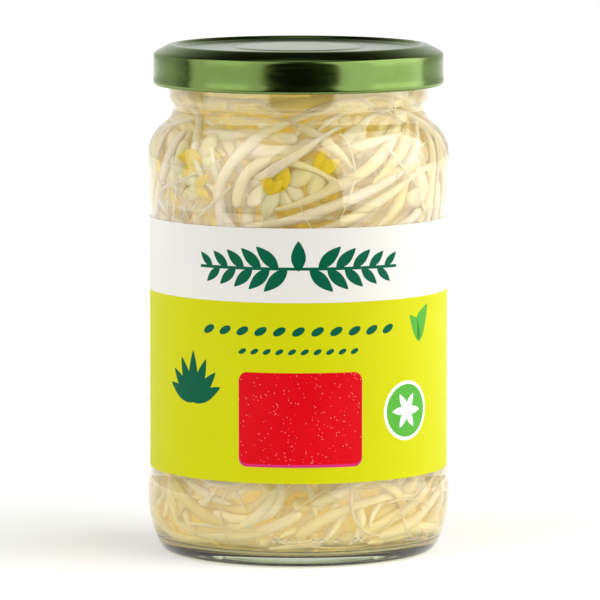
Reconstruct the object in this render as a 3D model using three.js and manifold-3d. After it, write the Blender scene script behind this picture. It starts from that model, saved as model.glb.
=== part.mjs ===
// A jar of mung bean sprouts: a clear glass jar with a twist-off metal lid and a wrapped paper label,
// filled with brine in which the sprouts are packed. Millimetres, +Z up, the origin at the middle of
// the ring that the jar stands on, and -Y the front of the label.
import * as THREE from "three";
import { mergeVertices } from "three/addons/utils/BufferGeometryUtils.js";
import Module from "manifold-3d";

const wasm = await Module();
wasm.setup();

// Driving dimensions
const SIDES = 36; // facets round the jar and the lid
const CORE_SIDES = 18; // facets round the liquid core
const TURN = 2 * Math.PI;
const BODY_RADIUS = 36.33; // the two rounded bands that the jar touches its neighbours with
const PANEL_RADIUS = 35.55; // the recessed band that carries the label
const STAND_RADIUS = 31.4; // outer edge of the ring that the jar stands on
const NECK_RADIUS = 31.1;
const BORE_RADIUS = 27.9;
const RIM_HEIGHT = 119.0;
const FILL_HEIGHT = 112.0;
const LID_RADIUS = 34.9; // over the curled bottom edge
const SKIRT_RADIUS = 34.75;
const LID_BOTTOM = 112.0;
const LID_TOP = 121.7;
const PANEL_HEIGHT = 120.8; // the lid's sunk panel
const LID_SHEET = 0.45; // tin plate, drawn about twice as thick as the real sheet

// Lug finish: four slanting threads on the glass, with a lug of the lid under each
const THREAD_STARTS = 4;
const THREAD_LEAD = 6.35; // rise in one full turn
const THREAD_RADIUS = 32.6;
const THREAD_SPAN = 62; // degrees that one thread covers
const THREAD_BEHIND_LUG = 8; // degrees of thread on the closing side of a lug's middle
const THREAD_STEPS = 8;
const THREAD_HALF_ROOT = 0.95;
const THREAD_HALF_CREST = 0.5;
const LUG_HALF_ANGLE = 9; // degrees
const LUG_REACH = 31.5; // radius of a lug's inner edge
const LUG_ROOT = 34.1;
const LUG_BOTTOM = 112.4;
const LUG_TOP = 113.5;
const LUG_STEPS = 3;
const LUG_CLEARANCE = 0.35; // between a lug's top and the thread above its middle

// Label
const LABEL_BOTTOM = 20.4;
const LABEL_TOP = 80.7;
const LABEL_INNER = 35.78;
const LABEL_OUTER = 35.98;
const LABEL_HALF_FACETS = 16; // facets of the jar on each side of the front that the label covers

// Sprouts
const SEED = 11;
const PAIRS_WITH_BEAN = 20; // pairs whose first sprout still has its two seed halves
const PLAIN_PAIRS = 34; // pairs of stems whose seed has come off
const STEM_SIDES = 5;
const STEM_STEPS = 7;
const ROOT_STEPS = 2;
const LEAST_STEM_STEPS = 3; // a stem that finds no way on stays this short or longer
const LAYER_SHARES = [0.26, 0.74]; // depth of the two layers, from the glass at 0 to the core at 1
const SPROUT_GAP = 0.15; // least free space between two sprouts
const WALL_GAP = 0.3; // least free space to the glass and to the core
const LOWEST_UP = 0.8; // how far up the wall from the heel a sprout stays
const STEM_LENGTHS = [34, 50];
const ROOT_LENGTHS = [11, 19];
const STEM_RADII = [1.4, 1.72];
const ROOT_TIP_RADIUS = 0.45;
const ROOT_TOP_RADIUS = 1.1;
const DODGES = [0, 1, -1, 2, -2, 3, -3]; // turns tried in this order to get past what is in the way
const DODGE = 0.035; // radians a millimetre
const TRIES_PER_PAIR = 4000;
const SEED_HALF = new THREE.Vector3(4.2, 2.2, 1.45); // half length, half width and half thickness
const SEED_SPREAD = 0.3; // radians that a seed half is turned away from the stem's line
const SEED_OFFSET = 1.35; // sideways from the stem's line
const SEED_SINK = 3.1; // from the stem's end to a seed half's middle

const degrees = (angle) => (angle * Math.PI) / 180;
const lerp = THREE.MathUtils.lerp;

// A point at a radius, an angle counted anticlockwise from the front, and a height.
function onJar(radius, angle, height) {
  return new THREE.Vector3(radius * Math.sin(angle), -radius * Math.cos(angle), height);
}

// A profile of [radius, height] pairs turned round the Z axis.
function turned(profile, sides = SIDES) {
  const points = profile.map(([radius, height]) => new THREE.Vector2(radius, height));
  return new THREE.LatheGeometry(points, sides).rotateX(Math.PI / 2);
}

// A closed skin through rings of equal count, with a fan to a tip at each end.
function skin(rings, startTip, endTip) {
  const count = rings[0].length;
  const points = [startTip, ...rings.flat(), endTip];
  const faces = [];
  const at = (ring, k) => 1 + ring * count + (k % count);
  for (let k = 0; k < count; k++) {
    faces.push(0, at(0, k + 1), at(0, k));
    for (let ring = 0; ring + 1 < rings.length; ring++) {
      faces.push(at(ring, k), at(ring, k + 1), at(ring + 1, k + 1));
      faces.push(at(ring, k), at(ring + 1, k + 1), at(ring + 1, k));
    }
    faces.push(at(rings.length - 1, k), at(rings.length - 1, k + 1), points.length - 1);
  }
  const geometry = new THREE.BufferGeometry().setFromPoints(points);
  return geometry.setIndex(faces);
}

const middleOf = (ring) =>
  ring.reduce((sum, point) => sum.add(point), new THREE.Vector3()).divideScalar(ring.length);

// A closed skin with flat ends.
const bar = (rings) => skin(rings, middleOf(rings[0]), middleOf(rings[rings.length - 1]));

function solidOf(geometry) {
  const bare = geometry.clone();
  bare.deleteAttribute("normal");
  bare.deleteAttribute("uv");
  const merged = mergeVertices(bare, 1e-4);
  const mesh = new wasm.Mesh({
    numProp: 3,
    vertProperties: merged.attributes.position.array,
    triVerts: new Uint32Array(merged.index.array),
  });
  return new wasm.Manifold(mesh);
}

function geometryOf(solid) {
  const mesh = solid.getMesh();
  const geometry = new THREE.BufferGeometry();
  geometry.setAttribute("position", new THREE.BufferAttribute(mesh.vertProperties, 3));
  geometry.setIndex(new THREE.BufferAttribute(mesh.triVerts, 1));
  return geometry;
}

const joined = (geometries) =>
  geometryOf(geometries.map(solidOf).reduce((whole, piece) => whole.add(piece)));

// The wall's inside beside the face of the liquid core behind the sprouts, from the heel up to the neck:
// [radius of the glass, its height, radius of the core, its height].
const WALL_AND_CORE = [
  [28.5, 4.4, 22.2, 12.0],
  [32.3, 7.0, 24.6, 13.8],
  [33.7, 12.6, 25.6, 17.4],
  [33.6, 19.0, 25.6, 21.6],
  [33.6, 81.6, 25.6, 79.0],
  [34.1, 85.0, 25.8, 82.6],
  [34.1, 95.2, 25.8, 89.2],
  [32.4, 100.4, 24.0, 95.4],
  [29.4, 103.2, 21.6, 99.4],
  [BORE_RADIUS, 107.4, 20.0, 105.8],
  [BORE_RADIUS, FILL_HEIGHT, 19.7, FILL_HEIGHT],
];

function jarGeometry() {
  const outside = [
    [0, 2.4],
    [24, 1.3],
    [29.8, 0],
    [STAND_RADIUS, 0],
    [33.1, 0.8],
    [34.5, 3.6],
    [35.5, 7.0],
    [BODY_RADIUS, 11.8],
    [BODY_RADIUS, 16.9],
    [PANEL_RADIUS, 19.0],
    [PANEL_RADIUS, 82.2],
    [36.05, 84.6],
    [BODY_RADIUS, 94.4],
    [35.9, 97.8],
    [34.4, 100.9],
    [31.1, 103.6],
    [30.05, 106.2],
    [NECK_RADIUS, 109.2],
    [NECK_RADIUS, 117.4],
    [29.9, RIM_HEIGHT],
    [28.7, RIM_HEIGHT],
    [BORE_RADIUS, 118.1],
  ];
  const inside = WALL_AND_CORE.slice(0, -1)
    .reverse()
    .map(([radius, height]) => [radius, height]);
  const well = [
    [18, 4.7],
    [0, 5.3],
  ];
  const shell = turned([...outside, ...inside, ...well]);
  const threads = Array.from({ length: THREAD_STARTS }, (_, k) => threadGeometry(k));
  return joined([shell, ...threads]);
}

// The angle of a lug's middle when the lid is closed, anticlockwise from the front.
const lugAngle = (k) => degrees(((k + 0.5) * 360) / THREAD_STARTS);

// A slanting rib, rising anticlockwise, that thins out at both ends.
function threadGeometry(k) {
  const rings = [];
  for (let i = 0; i <= THREAD_STEPS; i++) {
    const turn = degrees((i / THREAD_STEPS) * THREAD_SPAN - THREAD_BEHIND_LUG);
    const underside = LUG_TOP + LUG_CLEARANCE + (turn / TURN) * THREAD_LEAD;
    const middle = underside + THREAD_HALF_ROOT;
    const crest = i === 0 || i === THREAD_STEPS ? lerp(NECK_RADIUS, THREAD_RADIUS, 0.4) : THREAD_RADIUS;
    const root = NECK_RADIUS - 0.6;
    const angle = lugAngle(k) + turn;
    rings.push([
      onJar(root, angle, middle - THREAD_HALF_ROOT),
      onJar(root, angle, middle + THREAD_HALF_ROOT),
      onJar(crest, angle, middle + THREAD_HALF_CREST),
      onJar(crest, angle, middle - THREAD_HALF_CREST),
    ]);
  }
  return bar(rings);
}

function lidGeometry() {
  const outside = [
    [0, 120.75],
    [13.6, 121.1],
    [15.2, 121.1],
    [16.2, PANEL_HEIGHT],
    [28.2, PANEL_HEIGHT],
    [29.6, LID_TOP],
    [30.7, LID_TOP],
    [34.2, 119.95],
    [SKIRT_RADIUS, 119.3],
    [SKIRT_RADIUS, 114.0],
    [LID_RADIUS, 113.1],
    [34.65, LID_BOTTOM],
    [33.85, LID_BOTTOM],
    [33.5, 113.1],
  ];
  const inside = [
    [SKIRT_RADIUS - LID_SHEET, 113.8],
    [SKIRT_RADIUS - LID_SHEET, 119.1],
    [33.9, 119.5],
    [30.55, LID_TOP - LID_SHEET],
    [29.8, LID_TOP - LID_SHEET],
    [28.4, PANEL_HEIGHT - LID_SHEET],
    [0, PANEL_HEIGHT - LID_SHEET - 0.05],
  ];
  const shell = turned([...outside, ...inside].reverse());
  const lugs = Array.from({ length: THREAD_STARTS }, (_, k) => lugGeometry(k));
  return joined([shell, ...lugs]);
}

// One lug: the bottom edge of the lid folded inwards under a thread.
function lugGeometry(k) {
  const rings = [];
  for (let i = 0; i <= LUG_STEPS; i++) {
    const angle = lugAngle(k) + degrees(lerp(-LUG_HALF_ANGLE, LUG_HALF_ANGLE, i / LUG_STEPS));
    rings.push([
      onJar(LUG_REACH, angle, LUG_BOTTOM),
      onJar(LUG_REACH, angle, LUG_TOP),
      onJar(LUG_ROOT, angle, LUG_TOP),
      onJar(LUG_ROOT, angle, LUG_BOTTOM - 0.1),
    ]);
  }
  return bar(rings);
}

// The soft sealing ring that is flowed into the lid over the jar's rim.
const sealGeometry = () =>
  turned([
    [28.1, 119.25],
    [32.6, 119.25],
    [32.6, 119.75],
    [30.4, 120.9],
    [29.8, 120.85],
    [28.1, 119.95],
    [28.1, 119.25],
  ]);

function labelGeometry() {
  const rings = [];
  for (let facet = -LABEL_HALF_FACETS; facet <= LABEL_HALF_FACETS; facet++) {
    const angle = (facet / SIDES) * TURN;
    rings.push([
      onJar(LABEL_INNER, angle, LABEL_BOTTOM),
      onJar(LABEL_INNER, angle, LABEL_TOP),
      onJar(LABEL_OUTER, angle, LABEL_TOP),
      onJar(LABEL_OUTER, angle, LABEL_BOTTOM),
    ]);
  }
  return bar(rings);
}

// The body of liquid that the sprouts are packed round.
function brineGeometry() {
  const face = WALL_AND_CORE.map(([, , radius, height]) => [radius, height]);
  return turned([[0, 11.6], ...face, [0, FILL_HEIGHT]], CORE_SIDES);
}

// Random draws from 0 to 1, the same on every run.
function drawsFrom(seed) {
  let state = seed >>> 0;
  return () => {
    state = (Math.imul(state, 1664525) + 1013904223) >>> 0;
    return state / 4294967296;
  };
}

const wallLengths = WALL_AND_CORE.map(() => 0);
for (let i = 1; i < WALL_AND_CORE.length; i++) {
  const [r0, z0] = WALL_AND_CORE[i - 1];
  const [r1, z1] = WALL_AND_CORE[i];
  wallLengths[i] = wallLengths[i - 1] + Math.hypot(r1 - r0, z1 - z0);
}
const WALL_LENGTH = wallLengths[wallLengths.length - 1];
const ROUND_SCALE = 30; // millimetres of way round in a radian, as at the middle of the layers

// The point at a way round, a way up the wall, both in millimetres, and a share of the depth to the core.
function inJar(round, up, share) {
  let i = 1;
  while (i < wallLengths.length - 1 && wallLengths[i] < up) i++;
  const part = (up - wallLengths[i - 1]) / (wallLengths[i] - wallLengths[i - 1]);
  const below = WALL_AND_CORE[i - 1];
  const [r, z, coreR, coreZ] = WALL_AND_CORE[i].map((value, k) => lerp(below[k], value, part));
  return onJar(lerp(r, coreR, share), round / ROUND_SCALE, lerp(z, coreZ, share));
}

// Thin at the root's tip, full along the stem, and a little thinner again at the top.
function sproutRadius(i, fullness) {
  if (i <= ROOT_STEPS) return lerp(ROOT_TIP_RADIUS, ROOT_TOP_RADIUS, i / ROOT_STEPS);
  const along = (i - ROOT_STEPS) / STEM_STEPS;
  return fullness * (0.82 + 0.18 * Math.sin(Math.PI * Math.min(1, along + 0.12)));
}

// Directions at a point of a line: ahead, level with the wall, and out through it.
function directionsAt(points, i) {
  const before = points[Math.max(0, i - 1)];
  const after = points[Math.min(points.length - 1, i + 1)];
  const ahead = after.clone().sub(before).normalize();
  const out = new THREE.Vector3(points[i].x, points[i].y, 0).normalize();
  const level = out.clone().cross(ahead).normalize();
  return { ahead, level, out: ahead.clone().cross(level) };
}

// Where one half of the seed lies: beside the stem's end, turned a little away from the stem's line.
function seedHalfPlace(points, side) {
  const { ahead, level, out } = directionsAt(points, points.length - 1);
  const lean = side * SEED_SPREAD;
  const long = ahead.clone().multiplyScalar(Math.cos(lean)).addScaledVector(level, Math.sin(lean));
  const wide = level.clone().multiplyScalar(Math.cos(lean)).addScaledVector(ahead, -Math.sin(lean));
  const middle = points[points.length - 1]
    .clone()
    .addScaledVector(ahead, SEED_SINK)
    .addScaledVector(level, side * SEED_OFFSET);
  return { middle, long, wide, out };
}

// The least distance between two straight stretches.
function distanceBetween([a, b], [c, d]) {
  const along = b.clone().sub(a);
  const other = d.clone().sub(c);
  const between = a.clone().sub(c);
  const aa = along.dot(along);
  const bb = other.dot(other);
  const ab = along.dot(other);
  const clamp = (value) => Math.min(1, Math.max(0, value));
  const spread = aa * bb - ab * ab;
  let s = spread > 1e-9 ? clamp((ab * other.dot(between) - bb * along.dot(between)) / spread) : 0;
  const t = clamp((ab * s + other.dot(between)) / bb);
  s = clamp((ab * t - along.dot(between)) / aa);
  return a.clone().addScaledVector(along, s).distanceTo(c.clone().addScaledVector(other, t));
}

// A straight stretch, with a half width along the wall and a half thickness through it.
function stretch(from, to, wide, thick, layer, across = new THREE.Vector3()) {
  const middle = from.clone().lerp(to, 0.5);
  return { ends: [from, to], wide, thick, layer, across, middle, reach: from.distanceTo(to) / 2 + wide };
}

function seedStretch(points, side, layer) {
  const { middle, long, wide } = seedHalfPlace(points, side);
  const half = SEED_HALF.x - SEED_HALF.y;
  const [from, to] = [-half, half].map((reach) => middle.clone().addScaledVector(long, reach));
  const across = wide.multiplyScalar(SEED_HALF.y - SEED_HALF.z);
  return stretch(from, to, SEED_HALF.y, SEED_HALF.z, layer, across);
}

// The distance from a point to one of the two lines of WALL_AND_CORE, whose radius stands at that place.
function distanceToLine(point, place) {
  const here = new THREE.Vector3(Math.hypot(point.x, point.y), point.z, 0);
  const line = WALL_AND_CORE.map((row) => new THREE.Vector3(row[place], row[place + 1], 0));
  const nearest = new THREE.Vector3();
  return Math.min(
    ...line.slice(1).map((end, i) => {
      new THREE.Line3(line[i], end).closestPointToPoint(here, true, nearest);
      return nearest.distanceTo(here);
    }),
  );
}

// The radius of one of those lines at a height, or 0 where the line doesn't reach.
function lineRadius(height, place) {
  const i = WALL_AND_CORE.findIndex((row) => row[place + 1] >= height);
  if (i < 1) return 0;
  const [r0, z0] = WALL_AND_CORE[i - 1].slice(place);
  const [r1, z1] = WALL_AND_CORE[i].slice(place);
  return z1 > z0 ? lerp(r0, r1, (height - z0) / (z1 - z0)) : r1;
}

function isClearOfJar(point, thick) {
  const radius = Math.hypot(point.x, point.y);
  const between = radius < lineRadius(point.z, 0) && radius > lineRadius(point.z, 2);
  return between && [0, 2].every((place) => distanceToLine(point, place) > thick + WALL_GAP);
}

const isInJar = ({ ends, middle, thick, across }) =>
  [...ends, middle].every((point) =>
    [-1, 0, 1].every((side) => isClearOfJar(point.clone().addScaledVector(across, side), thick)),
  );

function isClearOf(mine, others) {
  return others.every((theirs) => {
    if (mine.middle.distanceTo(theirs.middle) > mine.reach + theirs.reach + SPROUT_GAP) return true;
    const size = mine.layer === theirs.layer ? mine.wide + theirs.wide : mine.thick + theirs.thick;
    return distanceBetween(mine.ends, theirs.ends) > size + SPROUT_GAP;
  });
}

// A sprout grows over the wall from its root's tip, with a steady bend and a hook near the seed, and
// dodges what is already there. It gives up where there is no way on. A guest's root starts inside a
// stretch of its host's stem, which only the guest's first stretch may touch.
function grownSprout(draw, layer, withBean, others, host) {
  const span = (range) => lerp(...range, draw());
  const lengths = { root: span(ROOT_LENGTHS) / ROOT_STEPS, stem: span(STEM_LENGTHS) / STEM_STEPS };
  const fullness = span(STEM_RADII);
  const bend = lerp(-0.04, 0.04, draw());
  const hook = (draw() < 0.5 ? -1 : 1) * (withBean ? lerp(0.03, 0.12, draw()) : lerp(0, 0.07, draw()));
  let joint = 0;
  let heading = draw() * TURN;
  let round = draw() * TURN * ROUND_SCALE;
  let up = lerp(2, WALL_LENGTH - 2, draw());
  if (host) {
    joint = ROOT_STEPS + 1 + Math.floor(draw() * (host.walk.length - ROOT_STEPS - 2));
    ({ round, up } = host.walk[joint]);
    heading = host.walk[joint].heading + (draw() < 0.5 ? -1 : 1) * lerp(1, 2, draw());
  }
  const walk = [{ round, up, heading }];
  const points = [inJar(round, up, LAYER_SHARES[layer])];
  const stretches = [];
  for (let i = 0; i < ROOT_STEPS + STEM_STEPS; i++) {
    const length = i < ROOT_STEPS ? lengths.root : lengths.stem;
    const wanted = bend + (i + 3 > ROOT_STEPS + STEM_STEPS ? hook : 0);
    const radius = Math.max(sproutRadius(i, fullness), sproutRadius(i + 1, fullness));
    const nearJoint = (k) => i === 0 && Math.abs(k - joint) <= 1;
    const hosts = host ? host.stretches.filter((_, k) => !nearJoint(k)) : [];
    const inTheWay = [...others, ...stretches.slice(0, -1), ...hosts];
    const next = DODGES.map((dodge) => {
      const way = heading + length * (wanted + dodge * DODGE);
      const at = {
        round: round + length * Math.cos(way),
        up: up + length * Math.sin(way),
        heading: way,
      };
      if (at.up < LOWEST_UP || at.up > WALL_LENGTH) return null;
      const point = inJar(at.round, at.up, LAYER_SHARES[layer]);
      return { at, point, piece: stretch(points[i], point, radius, radius, layer) };
    }).find((option) => option && isInJar(option.piece) && isClearOf(option.piece, inTheWay));
    if (!next && i >= ROOT_STEPS + LEAST_STEM_STEPS) break;
    if (!next) return null;
    ({ round, up, heading } = next.at);
    walk.push(next.at);
    points.push(next.point);
    stretches.push(next.piece);
  }
  if (withBean) {
    const halves = [-1, 1].map((side) => seedStretch(points, side, layer));
    const inTheWay = [...others, ...stretches.slice(0, -2)];
    if (!halves.every((half) => isInJar(half) && isClearOf(half, inTheWay))) return null;
    stretches.push(...halves);
  }
  return { points, walk, fullness, withBean, stretches };
}

// Pairs are grown one after another, each clear of those already there.
function grownPairs() {
  const draw = drawsFrom(SEED);
  const pairs = [];
  const taken = [];
  for (let number = 0; number < PAIRS_WITH_BEAN + PLAIN_PAIRS; number++) {
    const layer = number % LAYER_SHARES.length;
    let pair = null;
    for (let tries = 0; !pair; tries++) {
      if (tries > TRIES_PER_PAIR) throw new Error("no room for pair " + number);
      const first = grownSprout(draw, layer, number < PAIRS_WITH_BEAN, taken, null);
      const second = first && grownSprout(draw, layer, false, taken, first);
      if (second) pair = [first, second];
    }
    pairs.push(pair);
    taken.push(...pair.flatMap((sprout) => sprout.stretches));
  }
  return pairs;
}

function stemGeometry({ points, fullness }) {
  const rings = points.slice(1).map((point, k) => {
    const i = k + 1;
    const { level, out } = directionsAt(points, i);
    const radius = sproutRadius(i, fullness);
    return Array.from({ length: STEM_SIDES }, (_, side) => {
      const angle = (side / STEM_SIDES) * TURN;
      return point
        .clone()
        .addScaledVector(level, radius * Math.cos(angle))
        .addScaledVector(out, radius * Math.sin(angle));
    });
  });
  const last = points.length - 1;
  const top = points[last].clone().addScaledVector(directionsAt(points, last).ahead, 0.7);
  return skin(rings, points[0], top);
}

// One half of the seed, a low-sided egg.
function seedHalfGeometry(points, side) {
  const { middle, long, wide, out } = seedHalfPlace(points, side);
  const egg = new THREE.SphereGeometry(1, 5, 4).rotateZ(-Math.PI / 2);
  egg.scale(SEED_HALF.x, SEED_HALF.y, SEED_HALF.z);
  return egg.applyMatrix4(new THREE.Matrix4().makeBasis(long, wide, out).setPosition(middle));
}

const sproutPieces = (sprout) => [
  stemGeometry(sprout),
  ...(sprout.withBean ? [-1, 1] : []).map((side) => seedHalfGeometry(sprout.points, side)),
];

// Materials
const material = (color, roughness, metalness, opacity = 1) => {
  const transparent = opacity < 1;
  return new THREE.MeshStandardMaterial({ color, roughness, metalness, opacity, transparent });
};
const clearGlass = material(0xe4eee6, 0.05, 0, 0.3);
const greenLacquer = material(0x2f5a12, 0.28, 0.8);
const sealingCompound = material(0xe9e6da, 0.6, 0);
const printedPaper = material(0xd3d800, 0.5, 0);
const paleBrine = material(0xe0bc66, 0.05, 0, 0.5);
const sproutFlesh = material(0xf0e6c4, 0.4, 0);

const jarOfSprouts = new THREE.Group();

function add(name, geometry, finish) {
  const mesh = new THREE.Mesh(geometry, finish);
  mesh.name = name;
  jarOfSprouts.add(mesh);
}

add("glass_jar", jarGeometry(), clearGlass);
add("lid_shell", lidGeometry(), greenLacquer);
add("lid_seal", sealGeometry(), sealingCompound);
add("paper_label", labelGeometry(), printedPaper);
add("brine", brineGeometry(), paleBrine);

grownPairs().forEach((pair, i) => {
  const name = `sprout_pair_${String(i + 1).padStart(2, "0")}`;
  add(name, joined(pair.flatMap(sproutPieces)), sproutFlesh);
});

export default jarOfSprouts;
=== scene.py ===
# A jar of mung bean sprouts in a pale studio: clear glass, a green twist-off lid, a printed paper
# label and the sprouts packed in brine. Blender units are metres; sizes below are in millimetres.
import math
import random

import bmesh
import bpy
import numpy as np
from mathutils import Matrix, Vector, bvhtree


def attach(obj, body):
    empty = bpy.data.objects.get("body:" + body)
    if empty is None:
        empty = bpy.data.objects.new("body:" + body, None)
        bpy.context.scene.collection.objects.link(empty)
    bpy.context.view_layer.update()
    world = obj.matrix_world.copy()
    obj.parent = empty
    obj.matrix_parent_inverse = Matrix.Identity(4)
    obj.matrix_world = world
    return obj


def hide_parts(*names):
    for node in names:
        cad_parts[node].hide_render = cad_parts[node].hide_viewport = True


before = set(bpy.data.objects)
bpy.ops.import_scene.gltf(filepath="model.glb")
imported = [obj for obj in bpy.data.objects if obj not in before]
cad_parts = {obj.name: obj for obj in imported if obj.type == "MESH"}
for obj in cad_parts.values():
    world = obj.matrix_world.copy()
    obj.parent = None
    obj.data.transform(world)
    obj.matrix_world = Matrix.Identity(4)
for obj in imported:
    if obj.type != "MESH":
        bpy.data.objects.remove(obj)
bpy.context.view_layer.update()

MM = 0.001
TURN = 2 * math.pi

# Camera, fitted to the photograph's outline of the jar
CAMERA_DISTANCE = 1333.3
CAMERA_HEIGHT = 209.3
CAMERA_PITCH = math.radians(6.392)
CAMERA_LENS = 334.75
CAMERA_SHIFT = 0.00256

# Studio
FLOOR_RADIUS = 1.2  # metres
FLOOR_AHEAD = 0.22  # how far the floor reaches towards the camera, past the jar's middle
FLOOR_GLOW = (0.18, 0.85)  # near the jar and far from it
LEFT_POWER = 7.6  # watts
RIGHT_POWER = 14.6
MIDDLE_SHARE = 0.16  # of a softbox's power again, over its brighter middle
SOFTBOXES = [  # name, degrees round, distance, height, size in metres, power
    ("left_softbox", 60, 0.78, 0.44, (1.25, 1.34), LEFT_POWER),
    ("left_softbox_middle", 58, 0.77, 0.5, (0.62, 0.9), LEFT_POWER * MIDDLE_SHARE),
    ("right_softbox", -73, 0.8, 0.44, (1.7, 1.34), RIGHT_POWER),
    ("right_softbox_middle", -84, 0.79, 0.5, (0.85, 0.9), RIGHT_POWER * MIDDLE_SHARE),
]
LAMPS_AIM = (0, 0, 0.07)
BACKDROP_GLOW = 0.8
CEILING_GLOW = 0.6
ROOM_GLOW = 0.01

# Jar
FINE_SIDES = 128
BODY_RADIUS = 36.33
PANEL_RADIUS = 35.55
NECK_RADIUS = 31.1
BORE_RADIUS = 27.9
RIM_HEIGHT = 119.0
FILL_HEIGHT = 112.0
FLOOR_HEIGHT = 3.4
BRINE_OVERLAP = 0.12  # the liquid reaches this far into the glass, so that no air shows between them
BRINE_DIP = 0.1  # and this far into the glass floor
BRINE_DIP_RADIUS = 20
MENISCUS = [(27.2, 0.35), (25.8, 0.6), (0, 0.65)]  # radii, and depths below the height of the fill
OUTER_WALL = [
    (0, 2.4), (24, 1.3), (29.4, 0), (31.0, 0), (32.6, 0.3), (33.6, 1.7), (34.5, 3.7), (35.4, 6.7),
    (36.1, 9.8), (BODY_RADIUS, 12.6), (BODY_RADIUS, 16.2), (36.0, 18.0), (PANEL_RADIUS, 19.0),
    (PANEL_RADIUS, 50), (PANEL_RADIUS, 82.2), (35.9, 83.4), (36.05, 85.2), (36.1, 90.8),
    (BODY_RADIUS, 93.6), (36.3, 95.6), (36.0, 97.4), (35.2, 99.6), (33.9, 101.4), (32.0, 103.0),
    (30.6, 104.4), (30.05, 106.0), (30.3, 107.3), (31.0, 108.2), (NECK_RADIUS, 109.4),
    (NECK_RADIUS, 117.0), (30.9, 118.2), (30.2, RIM_HEIGHT), (28.4, RIM_HEIGHT), (BORE_RADIUS, 118.2),
]
INNER_WALL = [
    (BORE_RADIUS, 112), (BORE_RADIUS, 107.6), (28.3, 105.4), (29.4, 103.4), (31.2, 101.6),
    (33.1, 99.0), (34.0, 95.6), (34.2, 91.0), (34.1, 85.5), (33.7, 82.0), (33.6, 50), (33.6, 19.0),
    (33.8, 14.0), (33.6, 9.2), (32.9, 5.9), (31.0, 3.6), (27.0, 2.9), (12, 3.6), (0, 3.8),
]
MOULD_DOTS = [-9.6, -6.6, -3.6, -0.7, 5.9, 9.0, 14.6, 22.4, 24.9]  # degrees round from the front
MOULD_DOT_HEIGHT = 6.7
MOULD_DOT_REACH = 35.25  # from the jar's axis to a dot's middle
MOULD_DOT_RADIUS = 0.6

# Lug finish
THREADS = 4
THREAD_LEAD = 6.35
THREAD_START = -8  # degrees from a lug's middle
THREAD_SPAN = 62
THREAD_STEPS = 24
THREAD_UNDERSIDE = 113.85
THREAD_LIFT = 0.95  # from the underside to the middle
THREAD_ROOT = (0.3, 0.9)  # depth in the neck and half the width there
THREAD_CREST = (1.5, 0.45)  # swell from just inside the neck, and half the width there
LUG_HALF_ANGLE = 9
LUG_STEPS = 8
LUG_RADII = (34.2, 31.55)  # at the skirt and at the tip
LUG_END_DRAW = 1.2  # how far a lug's two ends draw back
LUG_HEIGHTS = (112.35, 112.8, 113.45)  # underside at the skirt, underside at the tip, top

# Lid
LID_TOP = 121.7
LID_BOTTOM = 112.0
PANEL_HEIGHT = 120.8
LID_OUTSIDE = [
    (0, 120.98), (6, 121.0), (12.6, 121.1), (14.1, 121.12), (15.2, 121.08), (16.0, PANEL_HEIGHT + 0.03),
    (17.0, PANEL_HEIGHT), (27.4, PANEL_HEIGHT), (28.5, PANEL_HEIGHT + 0.1), (29.2, 121.4),
    (29.7, LID_TOP), (30.4, LID_TOP), (31.2, 121.5), (34.0, 120.05), (34.6, 119.6), (34.78, 118.9),
    (34.75, 114.2), (34.85, 113.4), (34.9, 112.6), (34.65, LID_BOTTOM), (34.1, LID_BOTTOM),
    (33.7, 112.4), (33.6, 113.1),
]
LINING_RADIUS = 34.4
LINING_HEIGHTS = (113.6, 119.2)
PANEL_UNDERSIDE = 118.5  # faces above this that look down are lined too
LID_INSIDE = [
    (34.3, 113.7), (34.3, 119.0), (33.9, 119.45), (30.7, 121.15), (29.8, 121.25), (28.5, 120.35),
    (16.4, 120.35), (14.5, 120.7), (0, 120.6),
]
SEAL_RING = [(28.1, 119.25), (32.6, 119.25), (32.7, 119.7), (30.5, 120.85), (29.7, 120.8), (28.1, 119.95)]

# Label
LABEL_BOTTOM = 20.4
LABEL_TOP = 80.7
LABEL_HEIGHT = LABEL_TOP - LABEL_BOTTOM
LABEL_ROWS = [0.35, 1.2, 14, 28, 42, LABEL_HEIGHT - 1.2, LABEL_HEIGHT - 0.35, LABEL_HEIGHT]
LABEL_STEPS = 220
LABEL_RADIUS = 35.76
LABEL_PAPER = 0.12
LABEL_HALF_ANGLE = math.radians(159)
WHITE_BAND_BOTTOM = 63.2
PRINT_RADIUS = LABEL_RADIUS + 0.02
PRINT_SINK = 0.02
PRINT_LIFT = 0.012  # of each print that lies on another
PRINT_STRIP = 1.2  # width of the flat strips that follow the label's curve
SPRAY_HEIGHT = 71.2

# Sprouts
FLESH_TONES_WITH_BRINE_TINT = {  # colour near the glass, colour deep in the jar with the brine's tint of light painted in, translucency
    "ivory": ((0.80, 0.715, 0.57), (0.84, 0.735, 0.29), 0.6),
    "cream": ((0.79, 0.68, 0.44), (0.84, 0.72, 0.24), 0.6),
    "golden": ((0.78, 0.635, 0.29), (0.82, 0.69, 0.19), 0.5),
}
PAINTED_BRINE_TINT_RADII = (21.0, 32.0)  # between these the sprouts go from their deep colour, a painted brine tint, to their near colour
SPROUT_TINT_HEIGHTS = (4, 34)  # between these the near colour rises to its full share
PAINTED_SCATTER_GLOW = (0.22, 0.06)  # painted glow: emission on the flesh that stands in for light scattered by the brine, deep in the jar and near the glass
SWELL = 0.16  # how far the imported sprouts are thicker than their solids
STEM_STEP = 2.4
STEM_TURNS = 14  # directions that a growing stem tries at each step
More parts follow.
